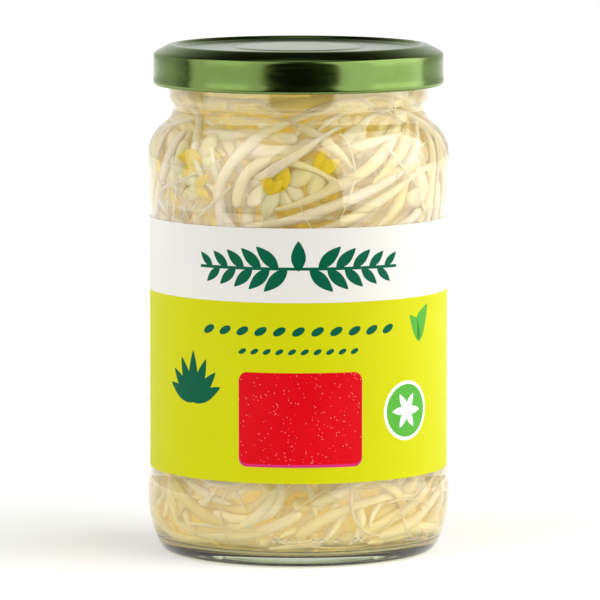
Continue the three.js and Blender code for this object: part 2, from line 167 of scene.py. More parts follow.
# Each layer's name, its stems, their depths below the wall, how far one may sink into another,
# and the lowest height at which one starts
STEM_LAYERS = [
    ("front", 200, (1.7, 6.0), 0.7, 4),
    ("neck", 110, (1.4, 7.0), 1.0, 100),
    ("back", 420, (5.0, 15.0), 1.3, 4),
]
STEM_TRIES = 12  # for each stem wanted
SHORTEST_STEM = 6  # spots
INNERMOST = 14  # radius that no growing stem passes
UPPER_SEEDS = 75  # stems that end above this often have their seed halves
BED_STEMS = 96
BED_HEIGHTS = [6.0, 7.8, 9.4]
BED_RADIUS = 28
OPEN_SEED_TRIES = 2400
OPEN_SEEDS = 100  # halves
LOOSE_TRIES = 900  # for loose seed halves, and again for fine roots
LOOSE_SEEDS_FROM = 82  # height above which most loose seed halves lie
SEED_HALVES = 210  # at most, with those on the stems
FINE_ROOTS = 210
CORE = [(0, 9.0), (19, 9.5), (21, 12), (20, 20), (20, 90), (21, 98), (20.5, 110), (0, 110.5)]
CORE_WAVES = 7
CORE_WAVE_HEIGHT = 0.022  # share of the radius
GRID_STEP = 1.25
GRID_LOW = (-36.0, -36.0, 2.0)
GRID_SIZE = (72.0, 72.0, 113.0)
GRID_INNER_RADIUS = 20
FREE_REACH = 6.0  # free distances are counted up to this


def material(name):
    """A new node material, with its tree and its shader."""
    made = bpy.data.materials.new(name)
    made.use_nodes = True
    tree = made.node_tree
    shader = tree.nodes["Principled BSDF"]
    return made, tree, shader


def node(tree, kind, inputs=None, **settings):
    """A new node with some settings and some input values or links."""
    made = tree.nodes.new(kind)
    for key, value in settings.items():
        setattr(made, key, value)
    for key, value in (inputs or {}).items():
        if isinstance(value, bpy.types.NodeSocket):
            tree.links.new(value, made.inputs[key])
        else:
            made.inputs[key].default_value = value
    return made


def place(tree):
    """Object coordinates and their three parts."""
    coords = node(tree, "ShaderNodeTexCoord").outputs["Object"]
    parts = node(tree, "ShaderNodeSeparateXYZ", {0: coords}).outputs
    return coords, parts


def maths(tree, operation, a, b=0.0):
    """One sum on two numbers or links."""
    return node(tree, "ShaderNodeMath", {0: a, 1: b}, operation=operation).outputs[0]


def between(tree, value, low, high, start=0.0, end=1.0):
    """Eases from start to end as the value goes from low to high."""
    inputs = {0: value, 1: low, 2: high, 3: start, 4: end}
    return node(tree, "ShaderNodeMapRange", inputs, interpolation_type="SMOOTHSTEP").outputs[0]


def blend_colour(tree, share, a, b):
    """Colour a where the share is 0, and b where it is 1."""
    made = node(tree, "ShaderNodeMix", data_type="RGBA")
    for index, value in ((0, share), (6, a), (7, b)):
        if isinstance(value, bpy.types.NodeSocket):
            tree.links.new(value, made.inputs[index])
        else:
            made.inputs[index].default_value = value if index == 0 else (*value, 1)
    return made.outputs[2]


def noise(tree, coords, scale, detail=3.0, stretch=(1, 1, 1)):
    mapping = node(tree, "ShaderNodeMapping", {0: coords, 3: stretch})
    inputs = {"Vector": mapping.outputs[0], "Scale": scale, "Detail": detail}
    return node(tree, "ShaderNodeTexNoise", inputs).outputs[0]


def bump(tree, shader, height, distance, strength=1.0):
    inputs = {"Height": height, "Distance": distance, "Strength": strength}
    made = node(tree, "ShaderNodeBump", inputs)
    tree.links.new(made.outputs[0], shader.inputs["Normal"])


def radius_of(tree, parts):
    squares = maths(tree, "ADD", maths(tree, "MULTIPLY", parts[0], parts[0]),
                    maths(tree, "MULTIPLY", parts[1], parts[1]))
    return maths(tree, "SQRT", squares)


def glass_material():
    made, tree, shader = material("clear_glass")
    coords, parts = place(tree)
    shader.inputs["Roughness"].default_value = 0.0
    shader.inputs["Transmission Weight"].default_value = 1.0
    shader.inputs["IOR"].default_value = 1.5
    shader.inputs["Coat Weight"].default_value = 0.4
    shader.inputs["Coat Roughness"].default_value = 0.0
    thick_base = between(tree, parts[2], 1.0 * MM, 3.6 * MM)
    colour = blend_colour(tree, thick_base, (0.57, 0.69, 0.34), (0.985, 0.995, 0.985))
    tree.links.new(colour, shader.inputs["Base Color"])
    waves = noise(tree, coords, 60, 2, (1, 1, 0.4))
    bump(tree, shader, waves, 0.05 * MM, 0.35)
    return made


def brine_material():
    made, tree, shader = material("pale_brine")
    _, parts = place(tree)
    shader.inputs["Roughness"].default_value = 0.0
    shader.inputs["Transmission Weight"].default_value = 1.0
    shader.inputs["IOR"].default_value = 1.33
    low = between(tree, parts[2], 2 * MM, 60 * MM)
    colour = blend_colour(tree, low, (0.99, 0.895, 0.65), (1.0, 0.945, 0.79))
    tree.links.new(colour, shader.inputs["Base Color"])
    return made


def lacquer_material():
    made, tree, shader = material("green_lacquer")
    coords, _ = place(tree)
    shader.inputs["Metallic"].default_value = 1.0
    grain = noise(tree, coords, 900, 4, (0.08, 1, 1))
    cloud = noise(tree, coords, 55, 3)
    shade = between(tree, cloud, 0.35, 0.65)
    colour = blend_colour(tree, shade, (0.098, 0.166, 0.018), (0.112, 0.186, 0.026))
    tree.links.new(colour, shader.inputs["Base Color"])
    tree.links.new(between(tree, grain, 0.3, 0.7, 0.16, 0.24), shader.inputs["Roughness"])
    shader.inputs["Specular Tint"].default_value = (0.5, 0.62, 0.35, 1)
    shader.inputs["Coat Weight"].default_value = 0.8
    shader.inputs["Coat Roughness"].default_value = 0.15
    bump(tree, shader, grain, 0.01 * MM, 0.3)
    return made


def lining_material():
    made, tree, shader = material("lid_lining")
    coords, _ = place(tree)
    flecks = noise(tree, coords, 700)
    colour = blend_colour(tree, flecks, (0.70, 0.68, 0.60), (0.80, 0.78, 0.71))
    tree.links.new(colour, shader.inputs["Base Color"])
    shader.inputs["Roughness"].default_value = 0.45
    bump(tree, shader, flecks, 0.02 * MM, 0.4)
    return made


def paper_material():
    """Coated paper, white on top and lime below, with the bare paper on its back."""
    made, tree, shader = material("printed_paper")
    coords, parts = place(tree)
    cloud = noise(tree, coords, 40, 2)
    lime = blend_colour(tree, cloud, (0.535, 0.54, 0.0), (0.58, 0.585, 0.0))
    white = blend_colour(tree, cloud, (0.70, 0.685, 0.635), (0.745, 0.725, 0.68))
    edge = WHITE_BAND_BOTTOM * MM
    front = blend_colour(tree, between(tree, parts[2], edge - 0.00008, edge + 0.00008), lime, white)
    back_face = ((LABEL_RADIUS - 0.08) * MM, (LABEL_RADIUS - 0.05) * MM)
    outside = between(tree, radius_of(tree, parts), *back_face)
    colour = blend_colour(tree, outside, (0.78, 0.77, 0.72), front)
    tree.links.new(colour, shader.inputs["Base Color"])
    shader.inputs["Roughness"].default_value = 0.5
    shader.inputs["Specular IOR Level"].default_value = 0.1
    fibres = noise(tree, coords, 1600, 4, (1, 1, 0.5))
    bump(tree, shader, fibres, 0.015 * MM, 0.35)
    return made


def ink_material(name, dark, light, speckled=False):
    made, tree, shader = material(name)
    coords, _ = place(tree)
    colour = blend_colour(tree, noise(tree, coords, 90, 3), dark, light)
    if speckled:
        cells = node(tree, "ShaderNodeTexVoronoi", {"Vector": coords, "Scale": 1500.0})
        flecks = maths(tree, "LESS_THAN", cells.outputs["Distance"], 0.16)
        few = maths(tree, "GREATER_THAN", noise(tree, coords, 600, 1), 0.5)
        share = maths(tree, "MULTIPLY", maths(tree, "MULTIPLY", flecks, few), 0.55)
        colour = blend_colour(tree, share, colour, (0.95, 0.55, 0.55))
    tree.links.new(colour, shader.inputs["Base Color"])
    shader.inputs["Roughness"].default_value = 0.45
    shader.inputs["Specular IOR Level"].default_value = 0.08
    bump(tree, shader, noise(tree, coords, 1600, 4), 0.01 * MM, 0.3)
    return made


def flesh_material(name, shallow, deep, translucency, streak=0.35):
    """Plant flesh that is deeper in colour away from the glass, a painted tint of light through the
    brine, and near the jar's bottom, with a painted glow that is stronger deep in the jar.
    """
    made, tree, shader = material(name)
    coords, parts = place(tree)
    # Painted brine tint: the deeper, more amber colour away from the glass stands in for light that
    # passes through more brine.
    depth = between(tree, radius_of(tree, parts), *(radius * MM for radius in PAINTED_BRINE_TINT_RADII))
    low = between(tree, parts[2], *(height * MM for height in SPROUT_TINT_HEIGHTS), 0.55, 1.0)
    clouds = noise(tree, coords, 130, 2)
    patchy = between(tree, clouds, 0.3, 0.7, 1.0 - streak, 1.0)
    share = maths(tree, "MULTIPLY", maths(tree, "MULTIPLY", depth, low), patchy)
    colour = blend_colour(tree, share, deep, shallow)
    tree.links.new(colour, shader.inputs["Base Color"])
    tree.links.new(colour, shader.inputs["Emission Color"])
    # Painted glow: emission that stands in for light scattered by the brine, stronger deep in the jar.
    glow = between(tree, share, 0.0, 0.9, *PAINTED_SCATTER_GLOW)
    tree.links.new(glow, shader.inputs["Emission Strength"])
    shader.inputs["Roughness"].default_value = 0.42
    shader.inputs["Subsurface Weight"].default_value = translucency
    shader.inputs["Subsurface Radius"].default_value = (1.0, 0.75, 0.4)
    shader.inputs["Subsurface Scale"].default_value = 3.5 * MM
    fibres = noise(tree, coords, 700, 5, (1, 1, 0.5))
    bump(tree, shader, fibres, 0.16 * MM, 0.45)
    return made


def mesh_object(name, bm, finishes, smooth=True, angle=None):
    """A new piece from a bmesh in metres, with its materials."""
    mesh = bpy.data.meshes.new(name)
    bm.to_mesh(mesh)
    bm.free()
    made = bpy.data.objects.new(name, mesh)
    bpy.context.scene.collection.objects.link(made)
    for finish in finishes:
        mesh.materials.append(finish)
    for face in mesh.polygons:
        face.use_smooth = smooth
    if angle is not None:
        mesh.set_sharp_from_angle(angle=angle)
    return made


def eased(profile, rounds=2):
    """The profile with its corners cut, keeping its two ends."""
    for _ in range(rounds):
        cut = [profile[0]]
        for (r0, z0), (r1, z1) in zip(profile, profile[1:]):
            cut.append((r0 * 0.75 + r1 * 0.25, z0 * 0.75 + z1 * 0.25))
            cut.append((r0 * 0.25 + r1 * 0.75, z0 * 0.25 + z1 * 0.75))
        profile = cut + [profile[-1]]
    return profile


def spin_profile(bm, profile, closed=False, sides=FINE_SIDES):
    """Turns a profile of radius and height, in millimetres, right round the Z axis."""
    verts = [bm.verts.new((0, -r * MM, z * MM)) for r, z in profile]
    pairs = list(zip(verts, verts[1:])) + ([(verts[-1], verts[0])] if closed else [])
    edges = [bm.edges.new(pair) for pair in pairs]
    bmesh.ops.spin(bm, geom=verts + edges, cent=(0, 0, 0), axis=(0, 0, 1), angle=TURN, steps=sides,
                   use_merge=True, use_duplicate=False)
    bmesh.ops.remove_doubles(bm, verts=bm.verts, dist=0.002 * MM)
    bmesh.ops.recalc_face_normals(bm, faces=bm.faces)


def on_jar(radius, angle, height):
    """A point in metres, from millimetres and an angle that is 0 at the front."""
    return Vector((radius * math.sin(angle), -radius * math.cos(angle), height)) * MM


def rib(bm, rings):
    """A closed bar through rings of four points, added to a bmesh."""
    grown = [[bm.verts.new(point) for point in ring] for ring in rings]
    faces = [bm.faces.new(grown[0]), bm.faces.new(reversed(grown[-1]))]
    for a, b in zip(grown, grown[1:]):
        for k in range(4):
            faces.append(bm.faces.new((a[k], b[k], b[(k + 1) % 4], a[(k + 1) % 4])))
    return faces


def make_jar(finish):
    """The turned glass, with its four slanting threads and its moulded dots."""
    bm = bmesh.new()
    spin_profile(bm, eased(OUTER_WALL)[:-1] + eased([OUTER_WALL[-1]] + INNER_WALL))
    root_depth, root_half = THREAD_ROOT
    crest_swell, crest_half = THREAD_CREST
    faces = []
    for k in range(THREADS):
        rings = []
        for i in range(THREAD_STEPS + 1):
            turn = math.radians(THREAD_START + THREAD_SPAN * i / THREAD_STEPS)
            middle = THREAD_UNDERSIDE + THREAD_LIFT + THREAD_LEAD * turn / TURN
            swell = math.sqrt(max(0.05, math.sin(math.pi * min(max(i / THREAD_STEPS, 0.03), 0.97))))
            root = NECK_RADIUS - root_depth
            crest = NECK_RADIUS - 0.1 + crest_swell * min(1, swell * 1.1)
            angle = math.radians((k + 0.5) * 360 / THREADS) + turn
            rings.append([on_jar(root, angle, middle - root_half),
                          on_jar(crest, angle, middle - crest_half),
                          on_jar(crest, angle, middle + crest_half),
                          on_jar(root, angle, middle + root_half)])
        faces += rib(bm, rings)
    for degrees in MOULD_DOTS:
        spot = on_jar(MOULD_DOT_REACH, math.radians(degrees), MOULD_DOT_HEIGHT)
        made = bmesh.ops.create_icosphere(bm, subdivisions=3, radius=MOULD_DOT_RADIUS * MM,
                                          matrix=Matrix.Translation(spot))
        faces += list({face for vert in made["verts"] for face in vert.link_faces})
    bmesh.ops.recalc_face_normals(bm, faces=faces)
    jar = mesh_object("glass_jar_fine", bm, [finish])
    jar.visible_shadow = False
    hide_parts("glass_jar")
    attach(jar, "jar")


def make_brine(finish):
    """The liquid, which fills the jar up to its glass and dips in the middle of its top."""
    bm = bmesh.new()
    wall = []
    for radius, height in reversed(eased(INNER_WALL)):
        reach = radius + BRINE_OVERLAP if radius > 0 else 0
        dip = BRINE_DIP if radius < BRINE_DIP_RADIUS else 0
        wall.append((reach, height - dip))
    top = [(BORE_RADIUS + BRINE_OVERLAP, FILL_HEIGHT)]
    top += [(radius, FILL_HEIGHT - depth) for radius, depth in MENISCUS]
    spin_profile(bm, wall[:-1] + top)
    brine = mesh_object("brine_fill", bm, [finish])
    brine.visible_shadow = False
    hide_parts("brine")
    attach(brine, "jar")


def make_lid(lacquer, lining):
    """The pressed sheet, lacquered outside and lined inside, with its four lugs."""
    bm = bmesh.new()
    spin_profile(bm, eased(LID_OUTSIDE) + eased(LID_INSIDE))
    lowest, highest = LINING_HEIGHTS
    for face in bm.faces:
        middle = face.calc_center_median() / MM
        under_panel = face.normal.z < -0.3 and middle.z > PANEL_UNDERSIDE
        in_skirt = math.hypot(middle.x, middle.y) < LINING_RADIUS and lowest < middle.z < highest
        face.material_index = 1 if under_panel or in_skirt else 0
    skirt, tip = LUG_RADII
    underside, tip_underside, top = LUG_HEIGHTS
    faces = []
    for k in range(THREADS):
        rings = []
        for i in range(LUG_STEPS + 1):
            turn = math.radians(-LUG_HALF_ANGLE + 2 * LUG_HALF_ANGLE * i / LUG_STEPS)
            angle = math.radians((k + 0.5) * 360 / THREADS) + turn
            reach = tip + LUG_END_DRAW * abs(2 * i / LUG_STEPS - 1) ** 4
            rings.append([on_jar(skirt, angle, underside), on_jar(reach, angle, tip_underside),
                          on_jar(reach, angle, top), on_jar(skirt, angle, top)])
        faces += rib(bm, rings)
    bmesh.ops.recalc_face_normals(bm, faces=faces)
    lid = mesh_object("lid_fine", bm, [lacquer, lining])
    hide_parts("lid_shell")
    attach(lid, "lid")


def make_seal(finish):
    """The soft ring in the lid, over the jar's rim."""
    bm = bmesh.new()
    ring = eased(SEAL_RING + [SEAL_RING[0]])
    spin_profile(bm, ring[:-1], closed=True)
    seal = mesh_object("seal_ring_fine", bm, [finish])
    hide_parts("lid_seal")
    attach(seal, "seal")


def turn_outwards(bm):
    """Reverses the faces of an open sheet that look towards the jar's axis."""
    bm.normal_update()
    inwards = [face for face in bm.faces if face.normal.dot(face.calc_center_median().xy.to_3d()) < 0]
    bmesh.ops.reverse_faces(bm, faces=inwards)


def make_label(finish):
    """A sheet rolled round the jar, with an open back."""
    bm = bmesh.new()
    first = bm.verts.new(on_jar(LABEL_RADIUS, -LABEL_HALF_ANGLE, LABEL_BOTTOM))
    bmesh.ops.spin(bm, geom=[first], cent=(0, 0, 0), axis=(0, 0, 1), angle=2 * LABEL_HALF_ANGLE,
                   steps=LABEL_STEPS, use_merge=False, use_duplicate=False)
    edges = list(bm.edges)
    height = 0
    for row in LABEL_ROWS:
        grown = bmesh.ops.extrude_edge_only(bm, edges=edges)["geom"]
        verts = [item for item in grown if isinstance(item, bmesh.types.BMVert)]
        edges = [item for item in grown if isinstance(item, bmesh.types.BMEdge)]
        bmesh.ops.translate(bm, verts=verts, vec=(0, 0, (row - height) * MM))
        height = row
    bmesh.ops.remove_doubles(bm, verts=bm.verts, dist=0.002 * MM)
    turn_outwards(bm)
    bmesh.ops.solidify(bm, geom=bm.faces[:], thickness=LABEL_PAPER * MM)
    label = mesh_object("label_sheet", bm, [finish], angle=math.radians(40))
    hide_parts("paper_label")
    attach(label, "jar")


def leaf_outline(length, width, count=14, bend=0.0):
    """A pointed leaf along its own x axis, in millimetres."""
    upper = []
    lower = []
    for i in range(count + 1):
        t = i / count
        half = width / 2 * math.sin(math.pi * t) ** 0.8 * (1.15 - 0.4 * t)
        middle = bend * length * math.sin(math.pi * t)
        upper.append((t * length, middle + half))
        lower.append((t * length, middle - half))
    return upper + lower[-2:0:-1]


def oval_outline(length, width, count=28):
    """An ellipse, or a disc where both sizes are the same."""
    return [(length / 2 * math.cos(TURN * i / count), width / 2 * math.sin(TURN * i / count))
            for i in range(count)]


def panel_outline(width, height, corner, count=8):
    """A rectangle with round corners."""
    points = []
    for quarter, (x, z) in enumerate([(1, 1), (-1, 1), (-1, -1), (1, -1)]):
        for i in range(count + 1):
            angle = math.pi / 2 * (quarter + i / count)
            points.append((x * (width / 2 - corner) + corner * math.cos(angle),
                           z * (height / 2 - corner) + corner * math.sin(angle)))
    return points


def moved(outline, across, up, turned=0.0):
    """An outline turned, then put at its place on the rolled-out label."""
    c, s = math.cos(turned), math.sin(turned)
    return [(across + x * c - z * s, up + x * s + z * c) for x, z in outline]


def make_print(name, outlines, finish, lift=0.0):
    """Printed shapes, given as outlines of arc length and height, laid round the label."""
    bm = bmesh.new()
    for outline in outlines:
        bm.faces.new([bm.verts.new((x * MM, 0, z * MM)) for x, z in outline])
    width = max(abs(vert.co.x) for vert in bm.verts)
    steps = int(width / (PRINT_STRIP * MM)) + 1
    for k in range(-steps, steps + 1):
        geom = bm.verts[:] + bm.edges[:] + bm.faces[:]
        bmesh.ops.bisect_plane(bm, geom=geom, dist=1e-7, plane_co=(k * PRINT_STRIP * MM, 0, 0),
                               plane_no=(1, 0, 0))
    bmesh.ops.triangulate(bm, faces=bm.faces[:])
    radius = PRINT_RADIUS + lift
    for vert in bm.verts:
        vert.co = on_jar(radius, vert.co.x / MM / radius, vert.co.z / MM)
    turn_outwards(bm)
    bmesh.ops.solidify(bm, geom=bm.faces[:], thickness=PRINT_SINK * MM)
    made = mesh_object(name, bm, [finish], smooth=False)
    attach(made, "jar")


def print_label():
    """A plain design in the colours and scale of the photograph's label, with motifs of its own."""
    green = ink_material("dark_green_ink", (0.0, 0.085, 0.04), (0.0, 0.11, 0.052))
    red = ink_material("red_ink", (0.58, 0.0, 0.004), (0.68, 0.001, 0.008), speckled=True)
    magenta = ink_material("magenta_ink", (0.55, 0.02, 0.13), (0.65, 0.03, 0.18))
    fresh = ink_material("fresh_green_ink", (0.07, 0.33, 0.03), (0.1, 0.42, 0.05))
    white = ink_material("white_ink", (0.82, 0.82, 0.8), (0.88, 0.88, 0.86))

    spray = [moved(panel_outline(50, 0.7, 0.34), 0, SPRAY_HEIGHT),
             moved(leaf_outline(7.2, 3.6), 0, 70.6, math.pi / 2)]
    for k in range(2, 12):
        for side in (-1, 1):
            size = 1.12 - 0.045 * k
            across = side * (2.1 * k - 1.6)
            lean = math.radians(44 if k % 2 else -44)
            turned = lean if side > 0 else math.pi - lean
            spray.append(moved(leaf_outline(7.6 * size, 3.1 * size), across, SPRAY_HEIGHT, turned))
    make_print("label_leaf_spray", spray, green)

    seeds = [moved(oval_outline(3.3, 1.75), -22.5 + 4.5 * k, 56.4, 0.5) for k in range(11)]
    seeds += [moved(oval_outline(2.1, 1.1), -13.5 + 3.0 * k, 51.6, 0.5) for k in range(10)]
    make_print("label_seed_rows", seeds, green)

    make_print("label_panel_edge", [moved(panel_outline(29.9, 22.2, 2.0), 0.5, 35.35)], magenta)
    make_print("label_red_panel", [moved(panel_outline(29.7, 21.7, 1.9), 0.5, 35.8)], red, PRINT_LIFT)

    tuft = []
    for k in range(7):
        lean = math.radians(90 + (k - 3) * 21)
        tuft.append(moved(leaf_outline(12.5 - 1.1 * abs(k - 3), 3.1), -27.5, 38.5, lean))
    make_print("label_tuft", tuft, green)

    disc_across, disc_up = 28.5, 36.5
    make_print("label_disc_edge", [moved(oval_outline(14.2, 14.2, 48), disc_across, disc_up)], white)
    disc = moved(oval_outline(12.6, 12.6, 48), disc_across, disc_up)
    make_print("label_disc", [disc], fresh, PRINT_LIFT)
    leaves = [moved(leaf_outline(4.6, 1.9), disc_across, disc_up, TURN * k / 6) for k in range(6)]
    make_print("label_disc_leaves", leaves, white, 2 * PRINT_LIFT)

    pair = [moved(leaf_outline(9.5, 4.2, bend=0.12), 33, 52.5, math.radians(68)),
            moved(leaf_outline(7.5, 3.4, bend=-0.12), 33, 52.5, math.radians(118))]
    make_print("label_leaf_pair", pair, fresh)

    back = []
    for k in range(4):
        for side in (-1, 1):
            back.append(moved(panel_outline(24 - 3 * (k % 2), 0.8, 0.4), side * 66, 44 - 4 * k))
    make_print("label_back_lines", back, green)


def wall_radius(z):
    """The inner wall's radius at a height, in millimetres. The three points of the floor don't count."""
    radii, heights = zip(*reversed(INNER_WALL[:-3]))
    return np.interp(z, heights, radii)


class Room:
    """The free distance to the nearest sprout, in millimetres, on a grid inside the jar."""

    def __init__(self, solids):
        self.low = np.array(GRID_LOW)
        self.shape = np.ceil(np.array(GRID_SIZE) / GRID_STEP).astype(int) + 1
        self.free = np.full(self.shape, FREE_REACH)
        axes = [self.low[k] + np.arange(self.shape[k]) * GRID_STEP for k in range(3)]
        self.points = np.stack(np.meshgrid(*axes, indexing="ij"), axis=-1)
        reach = np.hypot(self.points[..., 0], self.points[..., 1])
        inside = (reach < wall_radius(self.points[..., 2]) + 0.5) & (reach > GRID_INNER_RADIUS)
        tree = bvhtree.BVHTree.FromBMesh(solids)
        for index in np.argwhere(inside):
            point = Vector(self.points[tuple(index)]) * MM
            spot, normal, _, distance = tree.find_nearest(point, FREE_REACH * MM)
            if spot is not None:
                sign = -1 if (point - spot).dot(normal) < 0 else 1
                self.free[tuple(index)] = sign * distance / MM

    def at(self, spots):
        """The free distance at some spots, between the grid's points."""
        where = (spots - self.low) / GRID_STEP
        base = np.clip(np.floor(where).astype(int), 0, self.shape - 2)
        part = np.clip(where - base, 0, 1)
        total = np.zeros(len(spots))
        for corner in np.ndindex(2, 2, 2):
            share = np.prod(np.where(corner, part, 1 - part), axis=1)
            total += share * self.free[tuple((base + corner).T)]
        return total

    def take(self, spots, radii):
        """Fills the balls round some spots."""
        for spot, radius in zip(spots, radii):
            low = np.clip(((spot - FREE_REACH - self.low) / GRID_STEP).astype(int), 0, self.shape - 1)
            high = np.clip(((spot + FREE_REACH - self.low) / GRID_STEP).astype(int) + 2, 1, self.shape)
            block = tuple(slice(a, b) for a, b in zip(low, high))
            away = np.linalg.norm(self.points[block] - spot, axis=-1) - radius
            self.free[block] = np.minimum(self.free[block], away)


def unit(vector):
    return vector / np.linalg.norm(vector)


def grow(room, draw, start, radii, sink, wander, gap_to_wall=0.25, flat=1.1):
    """A line of spots that winds through the free room, or as far as it gets."""
    spots = [start]
    ahead = unit(draw.normal(size=3) * (1, 1, flat))
    bend = draw.normal(size=3) * 0.05
    for radius in radii[1:]:
        spread = np.linspace(0.02, wander, STEM_TURNS)[:, None]
        options = ahead + bend + draw.normal(size=(STEM_TURNS, 3)) * spread
        options /= np.linalg.norm(options, axis=1)[:, None]
        ends = spots[-1] + options * STEM_STEP
        reach = np.hypot(ends[:, 0], ends[:, 1]) + radius + gap_to_wall
        fits = (reach < wall_radius(ends[:, 2])) & (ends[:, 2] > FLOOR_HEIGHT + radius + 0.5)
        fits &= ends[:, 2] < FILL_HEIGHT - 1 - radius
        fits &= np.hypot(ends[:, 0], ends[:, 1]) > INNERMOST
        clear = room.at(ends) - radius
        score = np.minimum(clear, 0.4) - 2.5 * (1 - options @ ahead)
        score[~fits | (clear < -sink)] = -99
        best = int(np.argmax(score))
        if score[best] < -50:
            break
        ahead = options[best]
        bend = 0.8 * bend + draw.normal(size=3) * 0.03
        spots.append(ends[best])
    return np.array(spots)


def random_spot(draw, inner, outer, lowest=0):
    """A spot between two depths below the wall."""
    z = draw.uniform(max(lowest, FLOOR_HEIGHT + 1.5), FILL_HEIGHT - 2)
    reach = wall_radius(z) - draw.uniform(outer, inner)
    angle = draw.uniform(0, TURN)
    return np.array([reach * math.sin(angle), -reach * math.cos(angle), z])


def stem_radii(draw, steps, fullness):
    """Full along the stem, and thinning into a root over the last third."""
    t = np.linspace(0, 1, steps)
    stem = fullness * (0.86 + 0.14 * np.sin(math.pi * np.clip(t * 1.6, 0, 1)))
    stem *= 1 + 0.05 * draw.normal(size=steps).clip(-1.5, 1.5)
    taper = np.clip((t - 0.62) / 0.38, 0, 1)
    return stem * (1 - taper) + (0.28 + 0.2 * (1 - taper)) * taper


class Tubes:
    """Many tapering tubes in one curve, made a mesh at the end."""

    def __init__(self, name, finish, sides):
        self.curve = bpy.data.curves.new(name, "CURVE")
        self.curve.dimensions = "3D"
        self.curve.bevel_depth = MM
        self.curve.bevel_resolution = sides
        self.curve.use_fill_caps = True
        self.finish = finish
        self.name = name

    def add(self, spots, radii):
        """One tube, with a rounded tip before its first spot."""
        tip = spots[0] + unit(spots[0] - spots[1]) * radii[0] * 0.7
        spots = np.vstack([tip, spots])
        radii = np.concatenate([[radii[0] * 0.4, radii[0] * 0.88], radii[1:]])
        spline = self.curve.splines.new("POLY")
        spline.points.add(len(spots) - 1)
        for point, spot, radius in zip(spline.points, spots, radii):
            point.co = (*(spot * MM), 1)
            point.radius = radius

    def piece(self):
        """All the tubes as one mesh object."""
        holder = bpy.data.objects.new(self.name, self.curve)
        bpy.context.scene.collection.objects.link(holder)
        graph = bpy.context.evaluated_depsgraph_get()
        bm = bmesh.new()
        bm.from_mesh(holder.evaluated_get(graph).to_mesh())
        bpy.data.objects.remove(holder)
        bmesh.ops.remove_doubles(bm, verts=bm.verts, dist=0.001 * MM)
        bmesh.ops.recalc_face_normals(bm, faces=bm.faces)
        return mesh_object(self.name, bm, [self.finish])


def smoothed(spots, rounds=2):
    """The line with its kinks eased and its two ends kept."""
    for _ in range(rounds):
        middle = (spots[:-2] + 2 * spots[1:-1] + spots[2:]) / 4
        spots = np.vstack([spots[:1], middle, spots[-1:]])
    return spots


def doubled(spots, radii):
    """Twice as many spots on a smooth curve through the same ones, with their radii."""
    padded = np.vstack([2 * spots[0] - spots[1], spots, 2 * spots[-1] - spots[-2]])
    middles = (9 * (padded[1:-2] + padded[2:-1]) - padded[:-3] - padded[3:]) / 16
    curve = np.empty((2 * len(spots) - 1, 3))
    curve[::2] = spots
    curve[1::2] = middles
    places = np.arange(len(curve)) / 2
    return curve, np.interp(places, np.arange(len(radii)), radii)


def seed_half_template():
    """Half a seed: flat on its inner side, rounded outside, with a faint waist."""
    bm = bmesh.new()
    bmesh.ops.create_icosphere(bm, subdivisions=3, radius=1.0)
    for vert in bm.verts:
        x, y, z = vert.co
        z = z if z > 0 else z * 0.35
        waist = 1 - 0.12 * math.exp(-((x + 0.1) / 0.35) ** 2)
        vert.co = (x * 3.5 * MM, y * 2.15 * waist * MM, (z * 1.35 + 0.25 * x * x) * MM)
    return bm


def leaf_template():
    """A small first leaf, folded along its middle."""
    bm = bmesh.new()
    outline = leaf_outline(6.2, 3.0, 8)
    bm.faces.new([bm.verts.new((x * MM, y * MM, 0)) for x, y in outline])
    bmesh.ops.triangulate(bm, faces=bm.faces[:])
    bmesh.ops.subdivide_edges(bm, edges=bm.edges[:], cuts=1, use_grid_fill=True)
    for vert in bm.verts:
        vert.co.z = 0.28 * abs(vert.co.y) + 40 * vert.co.x ** 2 - 0.2 * vert.co.x
    bmesh.ops.recalc_face_normals(bm, faces=bm.faces)
    bmesh.ops.solidify(bm, geom=bm.faces[:], thickness=0.18 * MM)
    return bm


def facing(along, out):
    """A turn whose x axis runs along a line and whose z axis points as far outwards as it can."""
    x = Vector(along).normalized()
    y = Vector(out).cross(x).normalized()
    z = x.cross(y)
    return Matrix((x, y, z)).transposed()


def add_copies(name, template, places, finish):
    """One piece from many turned, moved and scaled copies of a small bmesh."""
    mesh = bpy.data.meshes.new(name + "_template")
    template.to_mesh(mesh)
    template.free()
    bm = bmesh.new()
    for turn, spot, scale in places:
        before = len(bm.verts)
        bm.from_mesh(mesh)
        bm.verts.ensure_lookup_table()
        new = bm.verts[before:]
        where = Matrix.Translation(spot) @ turn.to_4x4() @ Matrix.Scale(scale, 4)
        bmesh.ops.transform(bm, matrix=where, verts=new)
    bpy.data.meshes.remove(mesh)
    return mesh_object(name, bm, [finish])


def ride_as_sprouts(piece):
    """Attaches a piece of the contents to the jar's body."""
    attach(piece, "jar")


def make_pairs(finishes):
    """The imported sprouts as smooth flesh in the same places, and one bmesh of them all."""
    solids = bmesh.new()
    names = sorted(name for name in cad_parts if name.startswith("sprout_pair"))
    for count, name in enumerate(names):
        solids.from_mesh(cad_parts[name].data)
        bm = bmesh.new()
        bm.from_mesh(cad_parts[name].data)
        bmesh.ops.remove_doubles(bm, verts=bm.verts, dist=0.01 * MM)
        bmesh.ops.join_triangles(bm, faces=bm.faces[:], angle_face_threshold=math.radians(50),
                                 angle_shape_threshold=math.radians(60))
        piece = mesh_object(name + "_fine", bm, [finishes[count % len(finishes)]])
        subdivision = piece.modifiers.new("smooth", "SUBSURF")
        subdivision.levels = subdivision.render_levels = 2
        swell = piece.modifiers.new("swell", "DISPLACE")
        swell.strength = SWELL * MM
        swell.mid_level = 0
        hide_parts(name)
        ride_as_sprouts(piece)
    bmesh.ops.remove_doubles(solids, verts=solids.verts, dist=0.01 * MM)
    return solids


